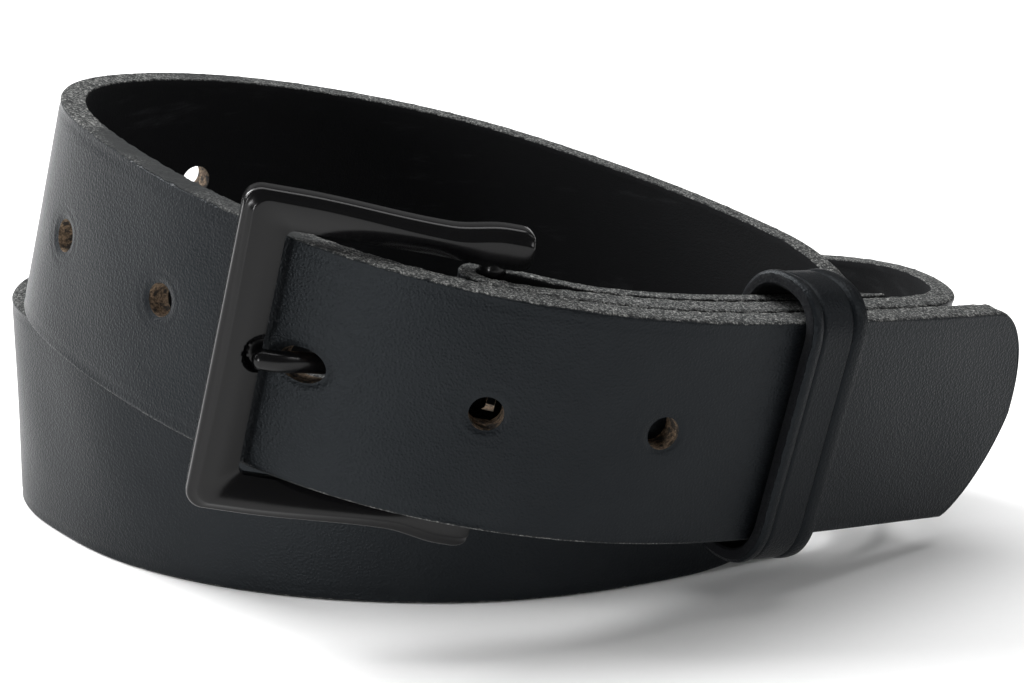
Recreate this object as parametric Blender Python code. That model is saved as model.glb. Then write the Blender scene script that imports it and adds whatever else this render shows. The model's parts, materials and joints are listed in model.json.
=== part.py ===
"""A plain leather belt, buckled and stood on edge in a two-turn coil.

All sizes are in millimetres and are turned into metres when a mesh is made.
The strap is one long strip. It is drawn first as a line in plan (u to the right, v to the back)
and is then lifted into space: the turn that holds the buckle leans up to the left, and the lower
turn stands flat on the ground.
"""

import math

import bmesh
import bpy
import numpy as np
from mathutils import Matrix, Vector

TO_METRES = 0.001

# The strap
STRAP_WIDTH = 32.0
STRAP_THICKNESS = 3.7
FOLD_THICKNESS = 2.4
END_THICKNESS = 1.1
PARED_LENGTH = 13.0
EDGE_CHAMFER = 0.4
TIP_TAPER = 8.6
TIP_ROUNDNESS_TOP = 2.2
TIP_ROUNDNESS_BOTTOM = 1.4
TIP_BLUNTNESS = 0.985
LAYER_GAP = 0.33
RING_STEP = 3.2
FOLD_RING_STEP = 1.3
TIP_RING_STEP = 1.2
THINNING_START = 8.0
THINNING_LENGTH = 13.0
NOSE_PAST_BAR = 4.0
FOLD_CLOSING_LENGTH = 18.0

# The holes, counted from the tip
HOLE_COUNT = 7
HOLE_DIAMETER = 4.6
HOLE_SPACING = 24.0
TIP_TO_FIRST_HOLE = 66.4
BUCKLED_HOLE = 3
BUCKLED_HOLE_LENGTH = 6.8

# The lean of the buckle turn, and how it settles into the lower turn at the right
LEAN_DEG = 12.4
LEAN_PIVOT_X = 85.3
PLAN_SHIFT_X = 1.0
BEND_SETTLE_START = -14.0
BEND_SETTLE_LENGTH = 40.0
RISE_START = -46.0
RISE_LENGTH = 52.0

# The buckle
BAR_RADIUS = 1.5
BAR_GAP = 0.45
BAR_U = -6.8
FRAME_LENGTH = 30.1
FRAME_SWING_DEG = 8.6
FRAME_LIFT = 0.4
FRAME_SIDE = 5.2
FRAME_NOSE = 6.2
FRAME_THICKNESS = 3.8
FRAME_CLEARANCE = 0.9
FRAME_CORNER = 5.5
FRAME_HEEL_CORNER = 3.0
FRAME_HEEL = 4.6
FRAME_CHAMFER = 0.8
NOTCH_RADIUS = 2.3
NOTCH_FLOOR = 0.3

# The prong
PRONG_THICKNESS = 2.6
PRONG_WIDTH = 2.9
PRONG_RING_WIDTH = 4.0
PRONG_RING_WALL = 1.4
PRONG_CLEARANCE = 0.8
CHANNEL_START = 0.36
CHANNEL_END = 0.92
PRONG_REACH = 1.3
PRONG_ROOT = 0.6
PRONG_RISE = 4.4
PRONG_STRAP_GAP = 0.9
PRONG_TIP_STRAIGHT = 3.0
PRONG_TIP_ROUNDING = 1.6
PRONG_TIP_NARROWING = 0.8
SLOT_WIDTH = 6.0
SLOT_REACH = 10.0

# The keeper
KEEPER_U = 38.5
KEEPER_WIDTH = 10.5
KEEPER_THICKNESS = 1.8
KEEPER_CLEARANCE = 0.6
KEEPER_CORNER = 3.0
KEEPER_INNER_CORNER = 1.0

# The screws that hold the fold shut
SCREW_ROWS_U = (9.0, 22.5)
SCREW_OFFSET = 8.7
POST_RADIUS = 2.2
POST_BORE = 1.6
SCREW_RADIUS = 1.25
HEAD_RADIUS = 3.6
HEAD_THICKNESS = 0.8
FIT_GAP = 0.3

SMOOTH_ANGLE_DEG = 32.0

# Where the strap's middle line goes in plan, from the tip to the right-hand end of the lower turn
UPPER_FRONT = [
    (72, 48.3), (61.9, 40.2), (50.2, 30.5), (39.7, 22.1), (27.6, 13.3), (14.5, 6.4),
    (0.4, 2.5), (-14.2, 2.2), (-28.3, 6),
]
UPPER_LEFT = [
    (-40.9, 13.6), (-51.9, 23.6), (-61.2, 35.1), (-66.5, 45.1), (-67.4, 57.2), (-61.6, 68.5),
]
UPPER_BACK = [
    (-51, 78.4), (-37.9, 84.7), (-23.5, 87.3), (-8.8, 86.3), (5.5, 81), (18.9, 73.6),
    (31, 64), (39.8, 54.5),
]
INNER_BEND = [(43.4, 47.3), (40.4, 40.8)]
LOWER_FRONT = [
    (32.4, 36.1), (22.9, 31.4), (10, 26), (-2.9, 22.9), (-16.1, 22.4), (-27.5, 23.6),
    (-39.3, 26.6), (-48.2, 30.5),
]
LOWER_LEFT = [(-59.5, 38.2), (-67.7, 47.2), (-73, 55), (-75.2, 63.5), (-73, 72.5)]
LOWER_BACK = [
    (-66.5, 80), (-55, 87), (-40, 91.5), (-23.5, 93.2), (-7, 93), (10, 91.5),
    (27, 87), (40, 82),
]
HAIRPIN = [(48.2, 77.3), (53.2, 71.2), (56.8, 64.4), (58.6, 57.8), (59.4, 51.6), (58.9, 46.4)]
LAYER_START_U = 56.0
FOLD_BACK_END_U = 56.0


def smooth_step(x):
    x = np.clip(x, 0.0, 1.0)
    return x * x * (3.0 - 2.0 * x)


def spline(points, step):
    """Evenly spaced points on the smooth curve through the given points."""
    points = np.array(points, dtype=float)
    knots = np.concatenate([[0.0], np.cumsum(np.linalg.norm(np.diff(points, axis=0), axis=1))])
    gaps = np.diff(knots)
    count = len(points)
    matrix = np.eye(count)
    right = np.zeros_like(points)
    for i in range(1, count - 1):
        matrix[i, i - 1] = gaps[i - 1]
        matrix[i, i] = 2.0 * (gaps[i - 1] + gaps[i])
        matrix[i, i + 1] = gaps[i]
        right[i] = 6.0 * ((points[i + 1] - points[i]) / gaps[i] - (points[i] - points[i - 1]) / gaps[i - 1])
    bend = np.linalg.solve(matrix, right)
    places = np.arange(0.0, knots[-1], 0.25)
    i = np.clip(np.searchsorted(knots, places, side="right") - 1, 0, count - 2)
    before = (places - knots[i])[:, None]
    after = (knots[i + 1] - places)[:, None]
    gap = gaps[i][:, None]
    fine = (bend[i] * after**3 + bend[i + 1] * before**3) / (6.0 * gap)
    fine += (points[i] / gap - bend[i] * gap / 6.0) * after
    fine += (points[i + 1] / gap - bend[i + 1] * gap / 6.0) * before
    return resample(np.vstack([fine, points[-1]]), step)


def lengths_along(line):
    return np.concatenate([[0.0], np.cumsum(np.linalg.norm(np.diff(line, axis=0), axis=1))])


def resample(line, step):
    along = lengths_along(line)
    count = int(round(along[-1] / step)) + 1
    wanted = np.linspace(0.0, along[-1], count)
    return np.stack([np.interp(wanted, along, line[:, k]) for k in range(line.shape[1])], axis=1)


def inward_normals(line):
    """Unit normals on the coil's inner side, for a line that runs clockwise seen from above."""
    tangents = np.gradient(line, axis=0)
    tangents /= np.linalg.norm(tangents, axis=1)[:, None]
    return np.stack([tangents[:, 1], -tangents[:, 0]], axis=1)


def on_front(front, u):
    """The place on the upper turn's front, in plan, where the middle line has this u."""
    leftmost = int(np.argmin(front[: len(front) // 2, 0]))
    return int(np.argmin(np.abs(front[:leftmost, 0] - u)))


def bar_offset():
    """From the upper turn's middle line in to the centre of the heel bar."""
    return STRAP_THICKNESS / 2 + LAYER_GAP + FOLD_THICKNESS + BAR_GAP + BAR_RADIUS


def strap_plan():
    """The whole strap's middle line in plan, the thickness at each point, and some marks on it."""
    free = UPPER_FRONT + UPPER_LEFT + UPPER_BACK + INNER_BEND
    free += LOWER_FRONT + LOWER_LEFT + LOWER_BACK + HAIRPIN
    front = spline(free, 1.0)
    normals = inward_normals(front)
    start = on_front(front, LAYER_START_U)
    bar = on_front(front, BAR_U)
    end = on_front(front, FOLD_BACK_END_U)

    layer_one = []
    for i in range(start, bar, 2):
        thickness = skived_thickness(bar - i + NOSE_PAST_BAR)
        offset = STRAP_THICKNESS / 2 + LAYER_GAP + thickness / 2
        layer_one.append(front[i] + normals[i] * offset)

    centre = front[bar] + normals[bar] * bar_offset()
    radius = BAR_RADIUS + BAR_GAP + FOLD_THICKNESS / 2
    along = np.array([-normals[bar][1], normals[bar][0]])
    fold = []
    for angle in np.radians(np.arange(0.0, 181.0, 20.0)):
        fold.append(centre - normals[bar] * radius * math.cos(angle) + along * radius * math.sin(angle))

    layer_two = []
    closed = STRAP_THICKNESS * 1.5 + 2.0 * LAYER_GAP + FOLD_THICKNESS / 2
    opened = bar_offset() + radius
    for i in range(bar - 3, end, -3):
        near_nose = smooth_step((i - bar + FOLD_CLOSING_LENGTH) / FOLD_CLOSING_LENGTH)
        offset = closed + (opened - closed) * near_nose
        thin = (FOLD_THICKNESS - fold_back_thickness(i - end)) / 2
        layer_two.append(front[i] + normals[i] * (offset - thin))

    line = spline(free + layer_one + fold + layer_two, 0.5)
    return line, front, centre, centre + along * radius


def skived_thickness(to_nose):
    """The strap is skived thinner where it turns round the heel bar."""
    thinning = smooth_step((to_nose - THINNING_START) / THINNING_LENGTH)
    return FOLD_THICKNESS + (STRAP_THICKNESS - FOLD_THICKNESS) * float(thinning)


def fold_back_thickness(to_end):
    """The fold-back is pared thin towards its cut end."""
    return END_THICKNESS + (FOLD_THICKNESS - END_THICKNESS) * float(smooth_step(to_end / PARED_LENGTH))


def nearest(line, point, after=0):
    return after + int(np.argmin(np.linalg.norm(line[after:] - np.array(point), axis=1)))


class Strap:
    """The strap's middle line in space, with the directions along, across and out of its face."""

    def __init__(self):
        line, self.front, self.bar_centre, self.fold_nose = strap_plan()
        self.plan = line
        self.along = lengths_along(line)
        lean = math.tan(math.radians(LEAN_DEG))
        bend = self.along[nearest(line, INNER_BEND[0])]
        hairpin = self.along[nearest(line, HAIRPIN[-1])]
        leaning = 1.0 - smooth_step((self.along - bend - BEND_SETTLE_START) / BEND_SETTLE_LENGTH)
        leaning += smooth_step((self.along - hairpin - RISE_START) / RISE_LENGTH)
        self.middle = np.zeros((len(line), 3))
        self.middle[:, 0] = plan_to_x(line[:, 0])
        self.middle[:, 1] = line[:, 1]
        self.middle[:, 2] = STRAP_WIDTH / 2 + leaning * (LEAN_PIVOT_X - self.middle[:, 0]) * lean
        angle = np.radians(LEAN_DEG) * leaning
        up = np.stack([np.sin(angle), np.zeros(len(line)), np.cos(angle)], axis=1)
        tangent = np.gradient(self.middle, axis=0)
        self.tangent = tangent / np.linalg.norm(tangent, axis=1)[:, None]
        up -= self.tangent * np.sum(up * self.tangent, axis=1)[:, None]
        self.up = up / np.linalg.norm(up, axis=1)[:, None]
        self.out = np.cross(self.tangent, self.up)
        self.length = self.along[-1]
        self.fold_at = self.along[nearest(line, self.fold_nose, len(line) // 2)]

    def at(self, place):
        """Position and directions at this length from the tip."""
        rows = []
        for values in (self.middle, self.tangent, self.up, self.out):
            rows.append(np.array([np.interp(place, self.along, values[:, k]) for k in range(3)]))
        position, tangent, up, out = rows
        return position, tangent / np.linalg.norm(tangent), up / np.linalg.norm(up), out / np.linalg.norm(out)

    def thickness(self, place):
        if place < self.fold_at:
            return skived_thickness(self.fold_at - place)
        return fold_back_thickness(self.length - place)

    def edges(self, place):
        """How far the lower and the upper edge lie from the middle line."""
        share = min(max(TIP_TAPER - place, 0.0) / TIP_TAPER, TIP_BLUNTNESS)
        low, high = (
            STRAP_WIDTH / 2 * (1.0 - share**roundness) ** (1.0 / roundness)
            for roundness in (TIP_ROUNDNESS_BOTTOM, TIP_ROUNDNESS_TOP)
        )
        return -low, high


def plan_to_x(u):
    return PLAN_SHIFT_X + u * math.cos(math.radians(LEAN_DEG))


def leaning_point(u, v, w):
    """A point in the buckle turn's leaning plane, w across the strap from its middle line."""
    angle = math.radians(LEAN_DEG)
    x = plan_to_x(u)
    z = STRAP_WIDTH / 2 + (LEAN_PIVOT_X - x) * math.tan(angle)
    return Vector((x + w * math.sin(angle), v, z + w * math.cos(angle)))


def leaning_matrix(u, v, direction_u, direction_v):
    """Local x along the given plan direction, y across the strap, z out of the coil."""
    angle = math.radians(LEAN_DEG)
    size = math.hypot(direction_u, direction_v)
    du = direction_u / size
    dv = direction_v / size
    right = Vector((math.cos(angle), 0, -math.sin(angle)))
    back = Vector((0, 1, 0))
    across = Vector((math.sin(angle), 0, math.cos(angle)))
    x_axis = right * du + back * dv
    z_axis = x_axis.cross(across)
    matrix = Matrix((x_axis, across, z_axis)).transposed().to_4x4()
    matrix.translation = leaning_point(u, v, 0)
    return matrix


def make_material(name, colour, roughness, metallic=0.0):
    material = bpy.data.materials.new(name)
    material.use_nodes = True
    shader = material.node_tree.nodes["Principled BSDF"]
    shader.inputs["Base Color"].default_value = (*colour, 1.0)
    shader.inputs["Roughness"].default_value = roughness
    shader.inputs["Metallic"].default_value = metallic
    return material


def add_object(name, mesh_data, material=None, origin=Vector((0, 0, 0))):
    """An object from a bmesh in millimetres, with its origin at the given point."""
    bmesh.ops.recalc_face_normals(mesh_data, faces=mesh_data.faces)
    bmesh.ops.translate(mesh_data, vec=-origin, verts=mesh_data.verts)
    bmesh.ops.scale(mesh_data, vec=(TO_METRES,) * 3, verts=mesh_data.verts)
    mesh = bpy.data.meshes.new(name)
    mesh_data.to_mesh(mesh)
    mesh_data.free()
    obj = bpy.data.objects.new(name, mesh)
    obj.location = origin * TO_METRES
    bpy.context.scene.collection.objects.link(obj)
    if material:
        mesh.materials.append(material)
    mesh.shade_smooth()
    mesh.set_sharp_from_angle(angle=math.radians(SMOOTH_ANGLE_DEG))
    return obj


def add_cutter(name, mesh_data):
    cutter = add_object(name, mesh_data)
    cutter.hide_render = True
    cutter.display_type = "WIRE"
    return cutter


def boolean(target, other, operation):
    modifier = target.modifiers.new(other.name, "BOOLEAN")
    modifier.operation = operation
    modifier.solver = "EXACT"
    modifier.object = other


def loft(rings):
    """A closed solid through rings of points that all have the same number of points."""
    mesh_data = bmesh.new()
    rows = [[mesh_data.verts.new(Vector(point)) for point in ring] for ring in rings]
    count = len(rows[0])
    for first, second in zip(rows, rows[1:]):
        for k in range(count):
            after = (k + 1) % count
            mesh_data.faces.new((first[k], first[after], second[after], second[k]))
    mesh_data.faces.new(rows[0])
    mesh_data.faces.new(list(reversed(rows[-1])))
    return mesh_data


def strap_section(low, high, half_thickness, chamfer):
    """Corner points across the strap: its two edges, with the corners cut back by the chamfer."""
    b = half_thickness
    c = min(chamfer, (high - low) * 0.3, b * 0.6)
    lower = [(low, -b + c), (low, b - c), (low + c, b)]
    upper = [(high - c, b), (high, b - c), (high, -b + c)]
    return lower + upper + [(high - c, -b), (low + c, -b)]


def strip(strap, places, edges, thickness, chamfer):
    """The strap's own shape between two lengths, for the strap itself and for slots cut in it."""
    rings = []
    for place in places:
        position, _, up, out = strap.at(place)
        section = strap_section(*edges(place), thickness(place) / 2, chamfer)
        rings.append([position + up * w + out * o for w, o in section])
    return loft(rings)


def ring_places(strap):
    tip = np.arange(0.0, TIP_TAPER, TIP_RING_STEP)
    tip = np.concatenate([[0.0, 0.3], tip[1:]])
    places = list(tip)
    place = TIP_TAPER
    while place < strap.length - 0.5:
        places.append(place)
        to_fold = abs(place - strap.fold_at)
        place += FOLD_RING_STEP if to_fold < 9.0 else RING_STEP
    return places + [strap.length]


def cylinder(matrix, radius, low, high, segments=16, stretch=1.0):
    """A round bar along the matrix's z axis, stretched along its x axis."""
    rings = []
    for height in (low, high):
        ring = []
        for k in range(segments):
            angle = 2.0 * math.pi * k / segments
            x = radius * stretch * math.cos(angle)
            ring.append(matrix @ Vector((x, radius * math.sin(angle), height)))
        rings.append(ring)
    return loft(rings)


def face_matrix(position, tangent, up, out):
    matrix = Matrix((Vector(tangent), Vector(up), Vector(out))).transposed().to_4x4()
    matrix.translation = Vector(position)
    return matrix


def build_strap(strap, material):
    places = ring_places(strap)
    body = strip(strap, places, strap.edges, strap.thickness, EDGE_CHAMFER)
    obj = add_object("strap", body, material)
    reach = STRAP_THICKNESS / 2 + LAYER_GAP * 0.45
    for number in range(1, HOLE_COUNT + 1):
        place = TIP_TO_FIRST_HOLE + (number - 1) * HOLE_SPACING
        matrix = face_matrix(*strap.at(place))
        stretch = BUCKLED_HOLE_LENGTH / HOLE_DIAMETER if number == BUCKLED_HOLE else 1.0
        cutter = cylinder(matrix, HOLE_DIAMETER / 2, -reach, reach, stretch=stretch)
        boolean(obj, add_cutter(f"cut_hole_{number}", cutter), "DIFFERENCE")
    slot_places = np.arange(strap.fold_at - SLOT_REACH, strap.fold_at + SLOT_REACH, 1.1)
    slot = strip(
        strap,
        slot_places,
        lambda place: (-SLOT_WIDTH / 2, SLOT_WIDTH / 2),
        lambda place: strap.thickness(place) + LAYER_GAP * 0.9,
        0.0,
    )
    boolean(obj, add_cutter("cut_prong_slot", slot), "DIFFERENCE")
    return obj


def buckle_matrix(strap):
    """Heel bar centre; local x runs to the nose, y across the strap, z towards the coil's inside."""
    swing = math.radians(FRAME_SWING_DEG)
    u, v = strap.bar_centre
    return leaning_matrix(u, v, -math.cos(swing), -math.sin(swing))


def rounded_rectangle(x_low, x_high, half_y, corner_low, corner_high, steps=5):
    """Outline points, counter-clockwise, with its own corner radius at each end."""
    corners = (
        (x_high - corner_high, half_y - corner_high, corner_high, 0),
        (x_low + corner_low, half_y - corner_low, corner_low, 90),
        (x_low + corner_low, -half_y + corner_low, corner_low, 180),
        (x_high - corner_high, -half_y + corner_high, corner_high, 270),
    )
    outline = []
    for x, y, radius, first in corners:
        for k in range(steps + 1):
            angle = math.radians(first + 90.0 * k / steps)
            outline.append((x + radius * math.cos(angle), y + radius * math.sin(angle)))
    return outline


def prism(matrix, outline, low, high, chamfer=0.0):
    """The outline stood up along the matrix's z axis, its two rims cut back by the chamfer."""
    middle = np.mean(outline, axis=0)
    spread = np.max(np.abs(np.array(outline) - middle), axis=0)
    shrink = 1.0 - chamfer / spread
    inner = [tuple(middle + (np.array(p) - middle) * shrink) for p in outline]
    if chamfer > 0.0:
        levels = [(inner, low), (outline, low + chamfer), (outline, high - chamfer), (inner, high)]
    else:
        levels = [(outline, low), (outline, high)]
    return loft([[matrix @ Vector((x, y, z)) for x, y in ring] for ring, z in levels])


def build_frame(strap, material):
    matrix = buckle_matrix(strap)
    half_opening = STRAP_WIDTH / 2 + FRAME_CLEARANCE
    half_outer = half_opening + FRAME_SIDE
    half_thick = FRAME_THICKNESS / 2
    nose_out = FRAME_LENGTH + FRAME_NOSE / 2
    nose_in = FRAME_LENGTH - FRAME_NOSE / 2
    outline = rounded_rectangle(-FRAME_HEEL, nose_out, half_outer, FRAME_HEEL_CORNER, FRAME_CORNER)
    lifted = matrix @ Matrix.Translation((0, FRAME_LIFT, 0))
    plate = prism(lifted, outline, -half_thick, half_thick, FRAME_CHAMFER)
    obj = add_object("buckle_frame", plate, material, matrix.translation)
    window = rounded_rectangle(-FRAME_HEEL - 4.0, nose_in, half_opening, 0.5, 1.6)
    opening = prism(lifted, window, -FRAME_THICKNESS, FRAME_THICKNESS)
    boolean(obj, add_cutter("cut_window", opening), "DIFFERENCE")
    bar_matrix = matrix @ Matrix.Rotation(math.radians(-90.0), 4, "X")
    bar_end = half_opening + FRAME_SIDE / 2
    bar = cylinder(bar_matrix, BAR_RADIUS, -bar_end, bar_end, segments=20)
    bar = add_cutter("heel_bar_piece", bar)
    boolean(obj, bar, "UNION")
    notch_matrix = matrix @ Matrix.Translation((nose_in, 0, 0))
    notch = cylinder(notch_matrix, NOTCH_RADIUS, -half_thick - 1.0, NOTCH_FLOOR, segments=24)
    boolean(obj, add_cutter("cut_notch", notch), "DIFFERENCE")
    return obj


def prong_points(strap):
    """The prong's middle line in plan, from the heel bar out through the hole to the nose bar."""
    place = TIP_TO_FIRST_HOLE + (BUCKLED_HOLE - 1) * HOLE_SPACING
    i = int(np.argmin(np.abs(strap.along - place)))
    hole = strap.plan[i]
    tangent = strap.plan[i + 1] - strap.plan[i - 1]
    tangent /= np.linalg.norm(tangent)
    outward = np.array([-tangent[1], tangent[0]])
    swing = math.radians(FRAME_SWING_DEG)
    along = np.array([-math.cos(swing), -math.sin(swing)])
    lifted = np.array([math.sin(swing), -math.cos(swing)])
    nose_in = FRAME_LENGTH - FRAME_NOSE / 2
    rest = PRONG_THICKNESS / 2 + FIT_GAP - NOTCH_FLOOR
    tip = strap.bar_centre + along * (nose_in + PRONG_REACH) + lifted * rest
    clear = STRAP_THICKNESS / 2 + PRONG_THICKNESS / 2 + PRONG_STRAP_GAP
    ring = strap.bar_centre + along * (BAR_RADIUS + PRONG_ROOT)
    before = hole - tangent * PRONG_RISE - outward * clear
    return [ring, before, hole, tip - along * PRONG_TIP_STRAIGHT, tip]


def prong_body(strap, extra, first=0.0, last=1.0):
    line = spline(prong_points(strap), 0.5)
    count = len(line)
    low = int(first * (count - 1))
    high = int(last * (count - 1))
    across = Vector((math.sin(math.radians(LEAN_DEG)), 0, math.cos(math.radians(LEAN_DEG))))
    rings = []
    for i in range(low, high + 1, 3):
        tangent = line[min(i + 1, count - 1)] - line[max(i - 1, 0)]
        tangent /= np.linalg.norm(tangent)
        side = np.array([-tangent[1], tangent[0]])
        to_tip = (count - 1 - i) * 0.5
        short = 1.0 - min(to_tip / PRONG_TIP_ROUNDING, 1.0)
        blunt = 1.0 if extra > 0.0 else math.sqrt(1.0 - PRONG_TIP_NARROWING * short**2)
        ring = []
        for k in range(12):
            angle = 2.0 * math.pi * k / 12
            o = (PRONG_THICKNESS / 2 + extra) * blunt * math.cos(angle)
            w = (PRONG_WIDTH / 2 + extra) * blunt * math.sin(angle)
            ring.append(leaning_point(line[i][0] + side[0] * o, line[i][1] + side[1] * o, 0) + across * w)
        rings.append(ring)
    return loft(rings)


def build_prong(strap, strap_object, material):
    matrix = buckle_matrix(strap) @ Matrix.Rotation(math.radians(-90.0), 4, "X")
    obj = add_object("prong", prong_body(strap, 0.0), material, matrix.translation)
    outer = BAR_RADIUS + FIT_GAP + PRONG_RING_WALL
    ring = cylinder(matrix, outer, -PRONG_RING_WIDTH / 2, PRONG_RING_WIDTH / 2, segments=24)
    boolean(obj, add_cutter("prong_ring_piece", ring), "UNION")
    bore = cylinder(matrix, BAR_RADIUS + FIT_GAP, -PRONG_RING_WIDTH, PRONG_RING_WIDTH, segments=24)
    boolean(obj, add_cutter("cut_prong_bore", bore), "DIFFERENCE")
    channel = prong_body(strap, PRONG_CLEARANCE, CHANNEL_START, CHANNEL_END)
    boolean(strap_object, add_cutter("cut_prong_channel", channel), "DIFFERENCE")
    return obj


def layer_matrix(strap, u):
    """On the upper turn's middle line at this u: x along, y across, z out of the coil."""
    i = on_front(strap.front, u)
    along = strap.front[i + 1] - strap.front[i - 1]
    return leaning_matrix(*strap.front[i], *along)


def build_keeper(strap, leather):
    matrix = layer_matrix(strap, KEEPER_U)
    outer_face = STRAP_THICKNESS / 2 + KEEPER_CLEARANCE
    inner_face = STRAP_THICKNESS * 1.5 + 2.0 * LAYER_GAP + FOLD_THICKNESS + KEEPER_CLEARANCE
    middle = (inner_face - outer_face) / 2
    half_depth = (outer_face + inner_face) / 2
    half_opening = STRAP_WIDTH / 2 + KEEPER_CLEARANCE
    centred = matrix @ Matrix.Translation((0, 0, middle))
    turned = centred @ Matrix.Rotation(math.radians(90.0), 4, "Y")
    wall = KEEPER_THICKNESS
    depth = half_depth + wall
    outline = rounded_rectangle(-depth, depth, half_opening + wall, KEEPER_CORNER, KEEPER_CORNER, 4)
    half = KEEPER_WIDTH / 2
    body = prism(turned, outline, -half, half, EDGE_CHAMFER)
    obj = add_object("keeper", body, leather, centred.translation)
    corner = KEEPER_INNER_CORNER
    opening = rounded_rectangle(-half_depth, half_depth, half_opening, corner, corner, 3)
    boolean(obj, add_cutter("cut_keeper", prism(turned, opening, -half - 3, half + 3)), "DIFFERENCE")
    return obj


def build_screws(strap, strap_object, metal):
    """Two-piece screws through both layers of the fold, with their heads let into the leather."""
    outer = STRAP_THICKNESS / 2 + LAYER_GAP
    number = 0
    for u in SCREW_ROWS_U:
        back = STRAP_THICKNESS + LAYER_GAP + fold_back_thickness(FOLD_BACK_END_U - u)
        for side in (-1, 1):
            number += 1
            base = layer_matrix(strap, u) @ Matrix.Translation((0, side * SCREW_OFFSET, outer))
            post = add_object(f"post_{number}", cylinder(base, HEAD_RADIUS, 0.05, HEAD_THICKNESS, 20), metal)
            tube = cylinder(base, POST_RADIUS, HEAD_THICKNESS - 0.3, back - HEAD_THICKNESS - FIT_GAP, 20)
            boolean(post, add_cutter(f"post_tube_{number}", tube), "UNION")
            bore = cylinder(base, POST_BORE, HEAD_THICKNESS + 0.2, back + 2.0, 16)
            boolean(post, add_cutter(f"cut_post_bore_{number}", bore), "DIFFERENCE")
            head = cylinder(base, HEAD_RADIUS, back - HEAD_THICKNESS, back, 20)
            screw = add_object(f"screw_{number}", head, metal)
            shank = cylinder(base, SCREW_RADIUS, HEAD_THICKNESS + 0.2 + FIT_GAP, back - 0.3, 16)
            boolean(screw, add_cutter(f"screw_shank_{number}", shank), "UNION")
            cuts = {
                "through": (POST_RADIUS + FIT_GAP, -0.15, back + 0.2),
                "outer_seat": (HEAD_RADIUS + FIT_GAP, -0.15, HEAD_THICKNESS + FIT_GAP),
                "inner_seat": (HEAD_RADIUS + FIT_GAP, back - HEAD_THICKNESS - FIT_GAP, back + 0.6),
            }
            for name, (radius, low, high) in cuts.items():
                cutter = cylinder(base, radius, low, high, 20)
                boolean(strap_object, add_cutter(f"cut_{name}_{number}", cutter), "DIFFERENCE")


def clear_scene():
    for obj in list(bpy.data.objects):
        bpy.data.objects.remove(obj, do_unlink=True)


def centre_on_ground():
    """Moves everything together, so that the origin is under the middle of the belt's box."""
    bpy.context.view_layer.update()
    graph = bpy.context.evaluated_depsgraph_get()
    corners = []
    for obj in bpy.data.objects:
        if not obj.hide_render:
            mesh = obj.evaluated_get(graph).to_mesh()
            corners += [obj.matrix_world @ vertex.co for vertex in mesh.vertices]
    corners = np.array(corners)
    low = corners.min(axis=0)
    high = corners.max(axis=0)
    shift = Vector(((low[0] + high[0]) / 2, (low[1] + high[1]) / 2, low[2]))
    for obj in bpy.data.objects:
        obj.location -= shift


def main():
    clear_scene()
    leather = make_material("black_leather", (0.02, 0.021, 0.024), 0.5)
    black_metal = make_material("black_metal", (0.015, 0.015, 0.016), 0.35, 0.6)
    steel = make_material("steel", (0.5, 0.5, 0.5), 0.35, 1.0)
    strap = Strap()
    strap_object = build_strap(strap, leather)
    build_frame(strap, black_metal)
    build_prong(strap, strap_object, black_metal)
    build_keeper(strap, leather)
    build_screws(strap, strap_object, steel)
    centre_on_ground()


main()
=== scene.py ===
"""Looks for a plain black leather belt, buckled and stood on edge in a two-turn coil.

Sizes along the strap are in millimetres. The strap's line is worked out as in the CAD part, laid onto
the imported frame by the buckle's hinge, and then given a fine surface, cut edges, holes and creases.
"""

import json
import math

import bmesh
import bpy
import numpy as np
from mathutils import Matrix, Vector

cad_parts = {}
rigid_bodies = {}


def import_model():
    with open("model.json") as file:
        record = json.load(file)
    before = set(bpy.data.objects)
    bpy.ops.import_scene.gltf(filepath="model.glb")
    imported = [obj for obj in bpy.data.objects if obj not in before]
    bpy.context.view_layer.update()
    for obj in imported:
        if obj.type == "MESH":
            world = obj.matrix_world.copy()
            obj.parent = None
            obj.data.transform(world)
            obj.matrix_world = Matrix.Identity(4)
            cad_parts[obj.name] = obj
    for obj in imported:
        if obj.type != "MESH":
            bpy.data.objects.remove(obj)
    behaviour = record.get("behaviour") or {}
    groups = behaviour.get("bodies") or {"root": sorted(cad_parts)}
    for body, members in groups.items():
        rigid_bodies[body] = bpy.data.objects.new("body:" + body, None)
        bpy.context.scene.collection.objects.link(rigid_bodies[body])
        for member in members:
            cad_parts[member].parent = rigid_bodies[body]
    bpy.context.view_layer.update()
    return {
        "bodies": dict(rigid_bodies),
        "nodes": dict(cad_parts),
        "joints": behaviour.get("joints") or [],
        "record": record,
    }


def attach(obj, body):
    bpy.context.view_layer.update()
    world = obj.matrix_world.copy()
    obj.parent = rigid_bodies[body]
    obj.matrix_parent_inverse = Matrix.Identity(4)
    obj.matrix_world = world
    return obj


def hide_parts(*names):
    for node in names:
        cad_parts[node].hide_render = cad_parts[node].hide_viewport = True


TO_METRES = 0.001

# The strap
STRAP_WIDTH = 32.0
STRAP_THICKNESS = 3.7
FOLD_THICKNESS = 2.4
END_THICKNESS = 1.1
PARED_LENGTH = 13.0
TIP_TAPER = 8.6
TIP_ROUNDNESS_TOP = 2.2
TIP_ROUNDNESS_BOTTOM = 1.4
LAYER_GAP = 0.33
THINNING_START = 8.0
THINNING_LENGTH = 13.0
GRAIN_CORNER = 0.55
FLESH_CORNER = 0.35
TIP_LAST_SHARE = 0.9995

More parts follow.
